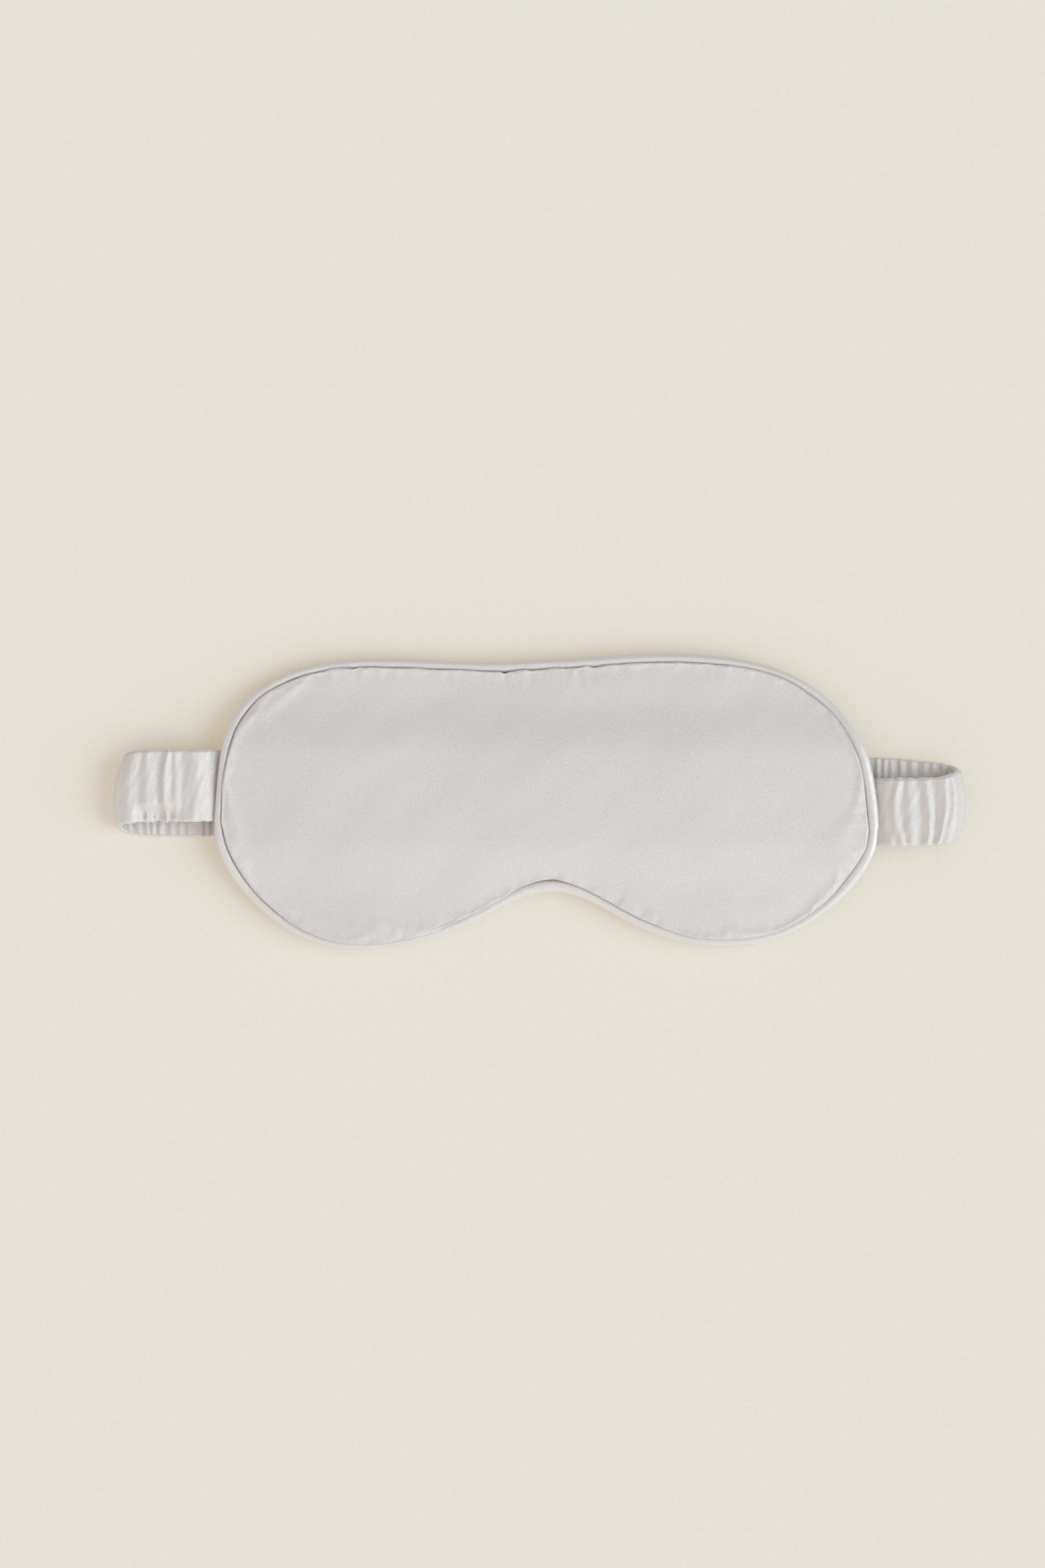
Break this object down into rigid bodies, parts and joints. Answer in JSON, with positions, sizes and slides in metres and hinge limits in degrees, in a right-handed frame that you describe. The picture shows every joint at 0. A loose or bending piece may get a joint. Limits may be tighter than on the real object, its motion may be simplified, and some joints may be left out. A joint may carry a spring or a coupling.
{
  "type": "sleep eye mask",
  "caption": "Padded satin sleep mask with piped edge and a gathered elastic strap looped behind it; the loop opens and stretches to go over a head.",
  "frame": {"origin": "on the table plane under the middle of the pad, at the underside of the strap's back length", "axes": "+X along the strap to the wearer's left side of the pad as it lies face up (right in a top view), +Y to the brow edge, +Z out of the front face"},
  "size_m": [0.2695, 0.0937, 0.0112],
  "materials": {
    "satin": "satin weave, soft sheen",
    "wadding": "needled fleece",
    "elastic": "woven elastic",
    "interlining": "matte close weave",
    "cord": "twisted cotton",
    "thread": "spun sewing thread"
  },
  "bodies": {
    "back_strap": {"casing_back": "satin", "elastic_back": "elastic"},
    "left_lower_inner": {"casing_left_lower_inner": "satin", "elastic_left_lower_inner": "elastic"},
    "left_lower_outer": {"casing_left_lower_outer": "satin", "elastic_left_lower_outer": "elastic"},
    "left_upper_outer": {"casing_left_upper_outer": "satin", "elastic_left_upper_outer": "elastic"},
    "left_upper_inner": {"casing_left_upper_inner": "satin", "elastic_left_upper_inner": "elastic"},
    "right_lower_inner": {"casing_right_lower_inner": "satin", "elastic_right_lower_inner": "elastic"},
    "right_lower_outer": {"casing_right_lower_outer": "satin", "elastic_right_lower_outer": "elastic"},
    "right_upper_outer": {"casing_right_upper_outer": "satin", "elastic_right_upper_outer": "elastic"},
    "right_upper_inner": {"casing_right_upper_inner": "satin", "elastic_right_upper_inner": "elastic"},
    "pad": {"front_panel": "satin", "back_panel": "satin", "front_wadding": "wadding", "back_wadding": "wadding", "blackout_interlining": "interlining", "piping_cover": "satin", "piping_cord": "cord", "needle_thread": "thread", "bobbin_thread": "thread", "casing_end_left": "satin", "elastic_end_left": "elastic", "casing_end_right": "satin", "elastic_end_right": "elastic", "left_tack_stitches": "thread", "right_tack_stitches": "thread"}
  },
  "joints": [
    {"name": "strap_open", "type": "hinge", "parent": "back_strap", "child": "left_lower_inner", "pos_m": [-0.1073, 0, 0.00505], "axis": [0, 1, 0], "range_deg": [0, 75]},
    {"name": "strap_stretch", "type": "slide", "parent": "left_lower_inner", "child": "left_lower_outer", "axis": [-1, 0, 0], "range_m": [0, 0.024]},
    {"name": "left_fold", "type": "hinge", "parent": "left_lower_outer", "child": "left_upper_outer", "pos_m": [-0.1373, 0, 0.00505], "axis": [0, -1, 0], "range_deg": [0, 150]},
    {"name": "left_upper_stretch", "type": "slide", "parent": "left_upper_outer", "child": "left_upper_inner", "axis": [1, 0, 0], "range_m": [0, 0.024]},
    {"name": "left_seam", "type": "hinge", "parent": "left_upper_inner", "child": "pad", "pos_m": [-0.1073, 0, 0.00505], "axis": [0, 1, 0], "range_deg": [0, 75]},
    {"name": "right_lower_hinge", "type": "hinge", "parent": "back_strap", "child": "right_lower_inner", "pos_m": [0.1022, 0, 0.00505], "axis": [0, -1, 0], "range_deg": [0, 75]},
    {"name": "right_lower_stretch", "type": "slide", "parent": "right_lower_inner", "child": "right_lower_outer", "axis": [1, 0, 0], "range_m": [0, 0.024]},
    {"name": "right_fold", "type": "hinge", "parent": "right_lower_outer", "child": "right_upper_outer", "pos_m": [0.1322, 0, 0.00505], "axis": [0, 1, 0], "range_deg": [0, 150]},
    {"name": "right_upper_stretch", "type": "slide", "parent": "right_upper_outer", "child": "right_upper_inner", "axis": [-1, 0, 0], "range_m": [0, 0.024]}
  ],
  "couplings": [
    {"joint": "left_fold", "follows": "strap_open", "ratio": 2},
    {"joint": "left_seam", "follows": "strap_open", "ratio": 1},
    {"joint": "right_lower_hinge", "follows": "strap_open", "ratio": 1},
    {"joint": "right_fold", "follows": "strap_open", "ratio": 2},
    {"joint": "left_upper_stretch", "follows": "strap_stretch", "ratio": 1},
    {"joint": "right_lower_stretch", "follows": "strap_stretch", "ratio": 1},
    {"joint": "right_upper_stretch", "follows": "strap_stretch", "ratio": 1}
  ]
}
